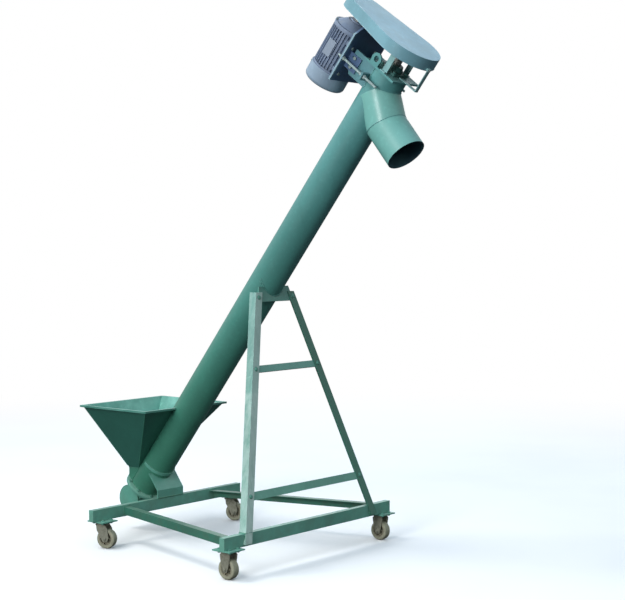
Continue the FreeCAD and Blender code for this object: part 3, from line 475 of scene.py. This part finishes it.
# ---------------------------------------------------------------- added pieces
MM = 0.001
REAR_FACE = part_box("rear_beam")[1][0]     # front face of the rear cross beam
BEAM_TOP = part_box("rear_beam")[1][2]
FRONT_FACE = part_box("front_beam")[1][0]
ACROSS = Vector((0, 1, 0))
TUBE_R = 0.1095


def design(x, y, z):
    """A point given in millimetres from the rear beam's front face, middle plane and floor."""
    return Vector((REAR_FACE + x * MM, y * MM, z * MM))


def polyline(points, step, closed=False):
    """Points a step apart along straight runs."""
    ends = points + [points[0]] if closed else points
    path = []
    for a, b in zip(ends, ends[1:]):
        parts = max(1, round((b - a).length / step))
        path += [a.lerp(b, k / parts) for k in range(parts)]
    return path if closed else path + [ends[-1]]


def arc(centre, u, v, radius, start, end, step=0.004):
    """Points round an arc; u and v are its unit axes and start and end are in degrees."""
    turn = math.radians(end - start)
    parts = max(4, round(abs(turn) * radius / step))
    angles = [math.radians(start) + turn * k / parts for k in range(parts + 1)]
    return [centre + (u * math.cos(t) + v * math.sin(t)) * radius for t in angles]


def square_to(axis):
    u = axis.orthogonal().normalized()
    return u, axis.cross(u)


class Shape:
    """Points and faces gathered into one mesh."""

    def __init__(self):
        self.points, self.faces = [], []

    def rings(self, rings, closed=False):
        """Skin over rings of points, with flat ends unless it closes on itself."""
        base, sides = len(self.points), len(rings[0])
        for one in rings:
            self.points += one
        count = len(rings)
        for i in range(count if closed else count - 1):
            a, b = base + i * sides, base + (i + 1) % count * sides
            self.faces += [(a + j, a + (j + 1) % sides, b + (j + 1) % sides, b + j)
                           for j in range(sides)]
        if not closed:
            self.faces.append(tuple(base + j for j in reversed(range(sides))))
            self.faces.append(tuple(base + (count - 1) * sides + j for j in range(sides)))

    def bar(self, path, radius, sides=8, closed=False):
        """Round bar along a path; radius is a number or one number for each point."""
        count = len(path)
        plane = Vector((0, 0, 0))
        for a, b in zip(path, path[1:] + path[:1]):
            plane += (a - path[0]).cross(b - path[0])
        if plane.length < 1e-7:
            plane = (path[-1] - path[0]).orthogonal()
        rings = []
        for i, point in enumerate(path):
            if closed:
                ahead = path[(i + 1) % count] - path[i - 1]
            else:
                ahead = path[min(i + 1, count - 1)] - path[max(i - 1, 0)]
            ahead.normalize()
            u = (plane - ahead * plane.dot(ahead)).normalized()
            v = ahead.cross(u)
            r = radius[i] if isinstance(radius, list) else radius
            rings.append([point + (u * math.cos(t) + v * math.sin(t)) * r
                          for t in (math.tau * j / sides for j in range(sides))])
        self.rings(rings, closed)

    def weld(self, path, radius=0.0036, closed=False):
        """Hand-laid bead: a row of overlapping ripples of uneven size."""
        path = polyline(path, 0.0022, closed)
        sizes = []
        for i in range(len(path)):
            ripple = 1.0 + 0.13 * math.cos(math.tau * i / 3)
            sizes.append(radius * ripple * random.uniform(0.93, 1.08))
        self.bar(path, sizes, 8, closed)

    def lathe(self, centre, axis, profile, sides=48, closed=False):
        """Turned shape: profile is (radius, height) pairs along the axis."""
        u, v = square_to(axis)
        turns = [math.tau * j / sides for j in range(sides)]
        self.rings([[centre + axis * h + (u * math.cos(t) + v * math.sin(t)) * r for t in turns]
                    for r, h in profile], closed)

    def washer(self, centre, axis, radius, thick):
        self.lathe(centre, axis, [(radius * 0.93, 0), (radius, thick * 0.3),
                                  (radius, thick * 0.7), (radius * 0.93, thick)], 32)

    def hexagon(self, centre, axis, flats, thick, along=None):
        """Hexagon nut or head with its corners chamfered at both ends."""
        u, v = square_to(axis)
        if along is not None:
            u = along.normalized()
            v = axis.cross(u)
        inner = flats / 2 * 0.96
        rings = [[], [], [], []]
        for j in range(48):
            t = math.tau * j / 48
            reach = flats / 2 / math.cos((t % (math.tau / 6)) - math.tau / 12)
            drop = (reach - inner) * 0.55
            levels = ((inner, 0), (reach, drop), (reach, thick - drop), (inner, thick))
            for ring, (r, h) in zip(rings, levels):
                ring.append(centre + axis * h + (u * math.cos(t) + v * math.sin(t)) * r)
        self.rings(rings)

    def thread(self, start, axis, length, radius, pitch=0.002, depth=0.0011, sides=20):
        """Threaded bar with pointed ends: its surface follows the helix of a coarse thread."""
        end_run, end_cut = 0.002, 0.0012
        u, v = square_to(axis)
        turns = [(j / sides, math.tau * j / sides) for j in range(sides)]
        rings = []
        count = round(length / pitch * 4)
        for i in range(count + 1):
            h = length * i / count
            taper = min(h, length - h, end_run) / end_run
            ring = []
            for share, t in turns:
                phase = (h / pitch - share) % 1.0
                r = radius - depth * (1 - abs(2 * phase - 1)) - end_cut * (1 - taper)
                ring.append(start + axis * h + (u * math.cos(t) + v * math.sin(t)) * r)
            rings.append(ring)
        self.rings(rings)

    def plate(self, centre, u, v, wide, tall, thick, corner):
        """Flat plate with round corners; u and v are the unit axes of its face."""
        w, t = wide / 2 - corner, tall / 2 - corner
        outline = []
        for cx, cy, start in ((w, t, 0), (-w, t, 90), (-w, -t, 180), (w, -t, 270)):
            for k in range(5):
                a = math.radians(start + 22.5 * k)
                outline.append((cx + corner * math.cos(a), cy + corner * math.sin(a)))
        normal = u.cross(v)
        self.rings([[centre + u * x + v * y + normal * h for x, y in outline]
                    for h in (0, thick)])

    def piece(self, name, body, slot, material=None, sharp=35):
        mesh = bpy.data.meshes.new(name)
        mesh.from_pydata([tuple(p) for p in self.points], [], self.faces)
        mesh.shade_smooth()
        mesh.set_sharp_from_angle(angle=math.radians(sharp))
        mesh.materials.append(material or finishes[slot])
        piece = bpy.data.objects.new(name, mesh)
        bpy.context.scene.collection.objects.link(piece)
        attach(piece, body)
        return piece


# ---------------------------------------------------------------- welds
LEAN, SPLAY = math.radians(12.2), math.radians(16.8)      # of the tower and of its legs
TOWER_X = Vector((math.cos(LEAN), 0, math.sin(LEAN)))
TOWER_Z = Vector((-math.sin(LEAN), 0, math.cos(LEAN)))
BEAM_FRONT = (FRONT_FACE - REAR_FACE) / MM
TOWER_FOOT = Vector((FRONT_FACE, 0, BEAM_TOP))

# millimetres, as design() takes them
RAIL_SIDE, RAIL_FLANGE, RAIL_LOW, RAIL_TOP = 427, 51, 193, 243    # side rail at the rear beam
LEG_EDGES, LEG_LOW, LEG_TOP = (624, 578), 195, 247        # leg foot on the front beam's face
FOOT_OUTER, FOOT_INNER, FOOT_DEEP = 617, 562, 50          # leg foot on the front beam's top
OVER_BEAM = 256                                           # just above a cross beam
SUPPORT_HALF = 118                                        # half the lower support's width
NECK_BACK, NECK_FRONT, NECK_SIDE, NECK_TOP = -310, -212, 94, 437
MOUTH_BACK, MOUTH_FRONT, MOUTH_SIDE, MOUTH_TOP = -466, 155, 371, 881
CORNER_FRONT = -215                                       # foot of the hopper's front corners
PAD_MIDDLES, PAD_HALF = {"rear": 605, "front": 732}, 62
SADDLE_FACES = (1, -11)                                   # along the tower's own x

# metres up the auger's axis
NECK_RUN, EAR_RUN = (-0.016, 0.090), (3.242, 3.390)
DRUM_S, DRUM_SIDE, DRUM_R = -0.142, 0.0965, 0.0915
BAND_EDGES, BAND_ARC = (0.1715, 0.1925), range(104, 258, 3)
TAIL_FLANGE_S, HEAD_PLATE_S = -0.018, 3.3905

# bead radii for each kind of joint
SHEET_BEAD, DRUM_BEAD, MITRE_BEAD, NECK_BEAD = 0.0028, 0.0026, 0.0024, 0.0032
FLANGE_BEAD = 0.0038


def on_tower(x, y, z):
    """A point in millimetres in the leaning plane of the tower, from its foot."""
    return TOWER_FOOT + TOWER_X * (x * MM) + ACROSS * (y * MM) + TOWER_Z * (z * MM)


def tube_at(s, degrees, radius=TUBE_R):
    """A point on the auger tube s metres up; 0 degrees is its top line and 90 its far side."""
    t = math.radians(degrees)
    return at(s, radius * math.cos(t), radius * math.sin(t))


def slide_to_plane(point, way, origin, normal):
    """Where a line from a point crosses a plane."""
    return point + way * ((origin - point).dot(normal) / way.dot(normal))


def saddle_line(face):
    """The underside of the auger tube where a face of the tower's saddle meets it."""
    origin = on_tower(face, 0, 0)
    return [slide_to_plane(tube_at(0, 100 + 160 * k / 60), AUGER_AXIS, origin, TOWER_X)
            for k in range(61)]


frame_welds = Shape()
weld = frame_welds.weld
for side in (-1, 1):
    y = side * RAIL_SIDE
    weld([design(1, y, RAIL_LOW), design(1, y, RAIL_TOP),
          design(1, y - side * RAIL_FLANGE, RAIL_TOP)])
    for edge in LEG_EDGES:
        weld([design(BEAM_FRONT + 1, side * edge, z) for z in (LEG_LOW, LEG_TOP)])
    weld([design(BEAM_FRONT - FOOT_DEEP, side * FOOT_OUTER, OVER_BEAM),
          design(BEAM_FRONT + 2, side * FOOT_OUTER, OVER_BEAM),
          design(BEAM_FRONT + 2, side * FOOT_INNER, OVER_BEAM)])
    # corners of the hopper; each bead starts a share of the way up, clear of the tube
    for foot, mouth, low in ((NECK_BACK, MOUTH_BACK, 0.03), (CORNER_FRONT, MOUTH_FRONT, 0.10)):
        a = design(foot, side * NECK_SIDE, NECK_TOP)
        b = design(mouth, side * MOUTH_SIDE, MOUTH_TOP)
        weld([a.lerp(b, low), a.lerp(b, 0.965)], SHEET_BEAD)
    # hopper's neck and the motor's ears along the tube, the neck's top, and the drum's cheek
    weld([at(s, 0.0575, side * 0.0945) for s in NECK_RUN], NECK_BEAD)
    weld([at(s, 0.0555, side * 0.0955) for s in EAR_RUN])
    weld([design(x, side * (NECK_SIDE + 0.5), NECK_TOP) for x in (NECK_BACK, NECK_FRONT)],
         SHEET_BEAD)
    cheek = arc(at(DRUM_S, 0, side * DRUM_SIDE), AUGER_AXIS, AUGER_UP, DRUM_R, 0, 360)
    weld(cheek[:-1], DRUM_BEAD, True)
weld([design(NECK_BACK - 0.5, y, NECK_TOP) for y in (-NECK_SIDE, NECK_SIDE)], SHEET_BEAD)
for name, pad in PAD_MIDDLES.items():
    low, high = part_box(name + "_beam")
    for side in (-1, 1):
        for x in (low[0] - 0.001, high[0] + 0.001):
            weld([Vector((x, (side * pad + d) * MM, low[2])) for d in (-PAD_HALF, PAD_HALF)])
# lower support, then band, tail flange, head plate and saddle round the tube
weld([design(1, y, OVER_BEAM) for y in (-SUPPORT_HALF, SUPPORT_HALF)])
for s in BAND_EDGES:
    weld([tube_at(s, a) for a in BAND_ARC], SHEET_BEAD)
weld([tube_at(TAIL_FLANGE_S, a) for a in range(0, 360, 4)], FLANGE_BEAD, True)
weld([tube_at(HEAD_PLATE_S, a) for a in range(0, 360, 4)], closed=True)
for face in SADDLE_FACES:
    weld(saddle_line(face))

# the spout's mitre, and its root on the tube from both sides
spout_up = ACROSS.cross(FIRST)


def round_spout(centre, t):
    """A point on the first length of the spout, t radians round from its front."""
    return centre + (spout_up * math.cos(t) + ACROSS * math.sin(t)) * SPOUT_R


weld([slide_to_plane(round_spout(MITRE, math.tau * k / 96), FIRST, MITRE, MITRE_WAY)
      for k in range(96)], MITRE_BEAD, True)
for side in (0, 180):
    root = []
    for k in range(-60, 61):
        base = round_spout(at(SPOUT_S), math.radians(side + k))
        if abs(base.y) < TUBE_R:
            out = (base - at(0)).dot(AUGER_UP)
            reach = (-math.sqrt(TUBE_R ** 2 - base.y ** 2) - out) / FIRST.dot(AUGER_UP)
            if reach > 0:
                root.append(base + FIRST * reach)
    weld(root)
frame_welds.piece("frame_welds", "frame", "frame_paint")

# ---------------------------------------------------------------- washers under bolt heads
BOLT_HEIGHTS = (1412, 966, 207)           # up the tower: saddle, middle tie and low tie
LEG_REACH, LEG_DROP, BOLT_IN = 632.9, 56, 28      # leg's outer edge, and the bolts' line in it
EAR_OUT, GUIDE_N, GUIDE_BOLTS = 0.0834, 0.205, (3.285, 3.345)

washers = Shape()
for z in BOLT_HEIGHTS:
    middle = LEG_REACH - (z + LEG_DROP) * math.tan(SPLAY) - BOLT_IN / math.cos(SPLAY)
    for side in (-1, 1):
        washers.washer(on_tower(5.1, side * middle, z), TOWER_X, 0.0145, 0.0022)
for s in GUIDE_BOLTS:
    for side in (-1, 1):
        washers.washer(at(s, GUIDE_N, side * EAR_OUT), ACROSS * side, 0.0135, 0.0016)
washers.piece("bolt_washers", "frame", "fastener_steel", painted_bolts)

# ---------------------------------------------------------------- jacking rods
ROD_S, ROD_SIDE, ROD_START, ROD_LENGTH, ROD_R = 3.31, 0.14, -0.052, 0.352, 0.008
LUG_NUTS = ((0.047, 0.0598), (0.074, 0.0734))     # each nut and its washer, below and above

rods = Shape()
for y in (-ROD_SIDE, ROD_SIDE):
    rods.thread(at(ROD_S, ROD_START, y), AUGER_UP, ROD_LENGTH, ROD_R)
    for nut, seat in LUG_NUTS:
        rods.hexagon(at(ROD_S, nut, y), AUGER_UP, 0.024, 0.013, AUGER_AXIS)
        rods.washer(at(ROD_S, seat, y), AUGER_UP, 0.015, 0.0012)
rod_zinc = plated("rod_zinc", rgb(196, 214, 214), 0.36, 0.2, 0.45)
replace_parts(rods.piece("threaded_rods", "frame", "fastener_steel", rod_zinc), "jacking_rods")

# ---------------------------------------------------------------- belt guard's folded edges
GUARD_R1, GUARD_R2, CENTRES = 0.202, 0.127, 0.400     # round the screw, round the motor, apart
RIM_S, TOP_S = 3.5445, 3.6141                         # the guard's open rim and closed top
STRAP_SCREW_S, STRAP_SCREW_N = 3.555, -0.2172
tangent = math.degrees(math.acos((GUARD_R1 - GUARD_R2) / CENTRES))


def guard_loop(s, inset):
    big = arc(at(s), AUGER_UP, ACROSS, GUARD_R1 - inset, tangent, 360 - tangent, 0.008)
    small = arc(at(s, CENTRES), AUGER_UP, ACROSS, GUARD_R2 - inset, -tangent, tangent, 0.008)
    return polyline(big + small, 0.01, True)


hem = Shape()
hem.bar(guard_loop(RIM_S, 0.0006), 0.0021, closed=True)
hem.bar(guard_loop(TOP_S, 0.0012), 0.0016, closed=True)
hem.piece("guard_hems", "frame", "guard_paint")
guard_screws = Shape()
guard_screws.washer(at(STRAP_SCREW_S, STRAP_SCREW_N), -AUGER_UP, 0.009, 0.0014)
guard_screws.hexagon(at(STRAP_SCREW_S, STRAP_SCREW_N - 0.0012), -AUGER_UP, 0.013, 0.0055)
guard_screws.piece("guard_screws", "frame", "fastener_steel")

# ---------------------------------------------------------------- motor details
SHIELD_S, SHIELD_BOLTS_R = 3.444, 0.1185              # drive-end shield
COWL_S, COWL_R = 3.146, 0.1318                        # fan cowl
LID_SIDE, LID_N, LID_S = 0.178, (0.462, 0.368), (3.247, 3.333)    # terminal box's lid
BADGE_S, BADGE_R, BADGE_LONG, BADGE_TALL, BADGE_THICK = 3.293, 0.1236, 0.104, 0.060, 0.0014
RIVET_S, RIVET_N = 0.045, 0.023
BOLT_ANGLES = (45, 135, 225, 315)
DOME_SCREW = [(0.006, 0), (0.006, 0.0012), (0.0048, 0.0028), (0.0022, 0.0034)]
LID_SCREW = [(0.0045, 0), (0.0045, 0.002), (0.003, 0.0034)]
RIVET = [(0.0026, 0), (0.0022, 0.0009), (0.001, 0.0014)]


def on_motor(s, degrees, radius):
    """A point round the motor's axis; 0 degrees faces the auger and 90 the far side."""
    t = math.radians(degrees)
    return at(s, CENTRES - radius * math.cos(t), radius * math.sin(t))


def motor_out(degrees):
    """The way out from the motor's axis."""
    t = math.radians(degrees)
    return (ACROSS * math.sin(t) - AUGER_UP * math.cos(t)).normalized()


motor_screws = Shape()
for degrees in BOLT_ANGLES:
    motor_screws.washer(on_motor(SHIELD_S, degrees, SHIELD_BOLTS_R), AUGER_AXIS, 0.0075, 0.0014)
    motor_screws.hexagon(on_motor(SHIELD_S + 0.0012, degrees, SHIELD_BOLTS_R), AUGER_AXIS,
                         0.0115, 0.006)
    motor_screws.lathe(on_motor(COWL_S, degrees, COWL_R), motor_out(degrees), DOME_SCREW, 20)
for n in LID_N:
    for s in LID_S:
        motor_screws.lathe(at(s, n, LID_SIDE), ACROSS, LID_SCREW, 18)
motor_screws.piece("motor_screws", "motor_carriage", "fastener_steel")

badge = Shape()
badge_face = on_motor(BADGE_S, 270, BADGE_R)
badge.plate(badge_face, AUGER_AXIS, AUGER_UP, BADGE_LONG, BADGE_TALL, BADGE_THICK, 0.005)
for ds in (-RIVET_S, RIVET_S):
    for dn in (-RIVET_N, RIVET_N):
        rivet = badge_face + AUGER_AXIS * ds + AUGER_UP * dn - ACROSS * 0.0013
        badge.lathe(rivet, -ACROSS, RIVET, 14)
badge.piece("motor_plate_blank", "motor_carriage", "fastener_steel",
            plated("blank_plate", rgb(150, 164, 182), 0.4, 0.4, 0.5))

# ---------------------------------------------------------------- casters
# (radius, height) pairs; the tyre's run from its bore over one side to the middle of its tread
HALF_TYRE = [(0.0455, 0.0238), (0.0490, 0.0250), (0.0540, 0.0250), (0.0546, 0.0243),
             (0.0560, 0.0243), (0.0566, 0.0250), (0.0585, 0.0248), (0.0608, 0.0232),
             (0.0624, 0.0198), (0.0630, 0.0140), (0.0632, 0.0070), (0.0632, 0.0010),
             (0.0635, 0.0005)]
TYRE = HALF_TYRE + [(r, -h) for r, h in reversed(HALF_TYRE)]
AXLE_CAP = [(0.0072, 0), (0.0070, 0.0014), (0.0050, 0.0030)]
RACE_COVER = [(0.0300, 0.1588), (0.0395, 0.1586), (0.0408, 0.1596), (0.0408, 0.1612),
              (0.0395, 0.1622), (0.0310, 0.1624)]
FORK_SIDE, AXLE_END = 0.0339, 0.0408      # from the middle of the wheel

for name in nodes:
    if name.startswith("caster_tyre_"):
        corner = name.removeprefix("caster_tyre_")
        roll, swivel = joints["roll_" + corner], joints.get("swivel_" + corner)
        axle, across = Vector(roll["pos_m"]), Vector(roll["axis"])
        tyre = Shape()
        tyre.lathe(axle, across, TYRE, 88, True)
        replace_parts(tyre.piece("tyre_" + corner, "wheel_" + corner, "wheel_tyre", None, 50),
                    name)
        trim = Shape()
        for side in (-1, 1):
            trim.washer(axle + across * side * FORK_SIDE, across * side, 0.0132, 0.0016)
            trim.lathe(axle + across * side * AXLE_END, across * side, AXLE_CAP, 24)
        trim.piece("axle_trim_" + corner, "swivel_" + corner if swivel else "frame",
                   "caster_zinc")
        if swivel:
            race = Shape()
            under = Vector((swivel["pos_m"][0], swivel["pos_m"][1], 0))
            race.lathe(under, Vector((0, 0, 1)), RACE_COVER, 56, True)
            race.piece("race_cover_" + corner, "frame", "caster_zinc")


# ---------------------------------------------------------------- studio
FLOOR_R, FLOOR_FADE = 90.0, (3.0, 10.0)
FLOOR_BOUNCE = (0.055, 0.06, 0.065, 1.0)
SKY_STRENGTH = 0.72
SKY_LIGHT = ((0.0, (0.30, 0.31, 0.30, 1)), (0.10, (0.66, 0.68, 0.66, 1)),
             (0.45, (0.86, 0.95, 0.98, 1)), (1.0, (0.62, 0.86, 1.15, 1)))
WHITE = (1.0, 1.0, 1.0, 1.0)


def studio_floor():
    """Large pale disc that fades to the backdrop's white away from the object.  It gives the
    object little light back, as a matt grey yard would, so undersides stay dark."""
    mesh = bpy.data.meshes.new("studio_floor")
    shape = bmesh.new()
    bmesh.ops.create_circle(shape, cap_ends=True, segments=96, radius=FLOOR_R)
    shape.to_mesh(mesh)
    shape.free()
    floor = bpy.data.objects.new("studio_floor", mesh)
    bpy.context.scene.collection.objects.link(floor)
    f = Finish("studio_floor")
    f.set(Base_Color=f.mix(f.span(f.noise(0.7, 3), 0.3, 0.7), rgb(246, 246, 246),
                           rgb(250, 250, 250)), Roughness=0.95, Specular_IOR_Level=0.0)
    far = f.vector("LENGTH", f.place)
    glow = f.add("Emission", Color=WHITE, Strength=1.0)
    seen = f.add("MixShader", Fac=f.span(far.outputs["Value"], *FLOOR_FADE))
    dull = f.add("BsdfDiffuse", Color=FLOOR_BOUNCE)
    blend = f.add("MixShader", Fac=f.add("LightPath").outputs["Is Camera Ray"])
    f.put(seen.inputs[1], f.shader.outputs[0])
    f.put(seen.inputs[2], glow.outputs[0])
    f.put(blend.inputs[1], dull.outputs[0])
    f.put(blend.inputs[2], seen.outputs[0])
    f.put(f.output.inputs["Surface"], blend.outputs[0])
    mesh.materials.append(f.material)
    floor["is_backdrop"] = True


def studio_sky():
    """White backdrop; the light it gives is cooler overhead than at the horizon."""
    world = bpy.data.worlds.new("studio")
    bpy.context.scene.world = world
    world.use_nodes = True
    tree = world.node_tree
    tree.nodes.clear()
    output = tree.nodes.new("ShaderNodeOutputWorld")
    seen = tree.nodes.new("ShaderNodeBackground")
    seen.inputs["Color"].default_value = WHITE
    light = tree.nodes.new("ShaderNodeBackground")
    light.inputs["Strength"].default_value = SKY_STRENGTH
    place = tree.nodes.new("ShaderNodeTexCoord")
    split = tree.nodes.new("ShaderNodeSeparateXYZ")
    ramp = tree.nodes.new("ShaderNodeValToRGB")
    stops = ramp.color_ramp.elements
    stops[0].color, stops[1].color = SKY_LIGHT[0][1], SKY_LIGHT[-1][1]
    for position, colour in SKY_LIGHT[1:-1]:
        stops.new(position).color = colour
    tree.links.new(place.outputs["Generated"], split.inputs[0])
    tree.links.new(split.outputs["Z"], ramp.inputs[0])
    tree.links.new(ramp.outputs[0], light.inputs["Color"])
    path = tree.nodes.new("ShaderNodeLightPath")
    mixed = tree.nodes.new("ShaderNodeMixShader")
    tree.links.new(path.outputs["Is Camera Ray"], mixed.inputs[0])
    tree.links.new(light.outputs[0], mixed.inputs[1])
    tree.links.new(seen.outputs[0], mixed.inputs[2])
    tree.links.new(mixed.outputs[0], output.inputs["Surface"])


def softbox(name, place, target, wide, tall, power, colour=(1, 1, 1)):
    """Rectangular lamp at a place, turned to a target."""
    lamp = bpy.data.lights.new(name, "AREA")
    lamp.shape = "RECTANGLE"
    lamp.size, lamp.size_y = wide, tall
    lamp.energy, lamp.color = power, colour
    holder = bpy.data.objects.new(name, lamp)
    place = Vector(place)
    holder.location = place
    holder.rotation_mode = "QUATERNION"
    holder.rotation_quaternion = (Vector(target) - place).to_track_quat("-Z", "Y")
    bpy.context.scene.collection.objects.link(holder)


studio_floor()
studio_sky()
softbox("key_light", (-3.5, -3.5, 9.0), (0, 0, 1.6), 3.5, 3.5, 420, (1.0, 0.98, 0.94))
softbox("strip_light", (1.6, -9.5, 4.2), (0.6, 0, 2.2), 3.0, 5.0, 560)
softbox("back_light", (-5.0, 8.0, 6.0), (0, 0, 1.6), 5.0, 5.0, 190, (0.92, 0.97, 1.0))
bpy.context.scene.view_settings.view_transform = "Standard"
bpy.context.scene.view_settings.look = "None"

low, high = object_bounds()
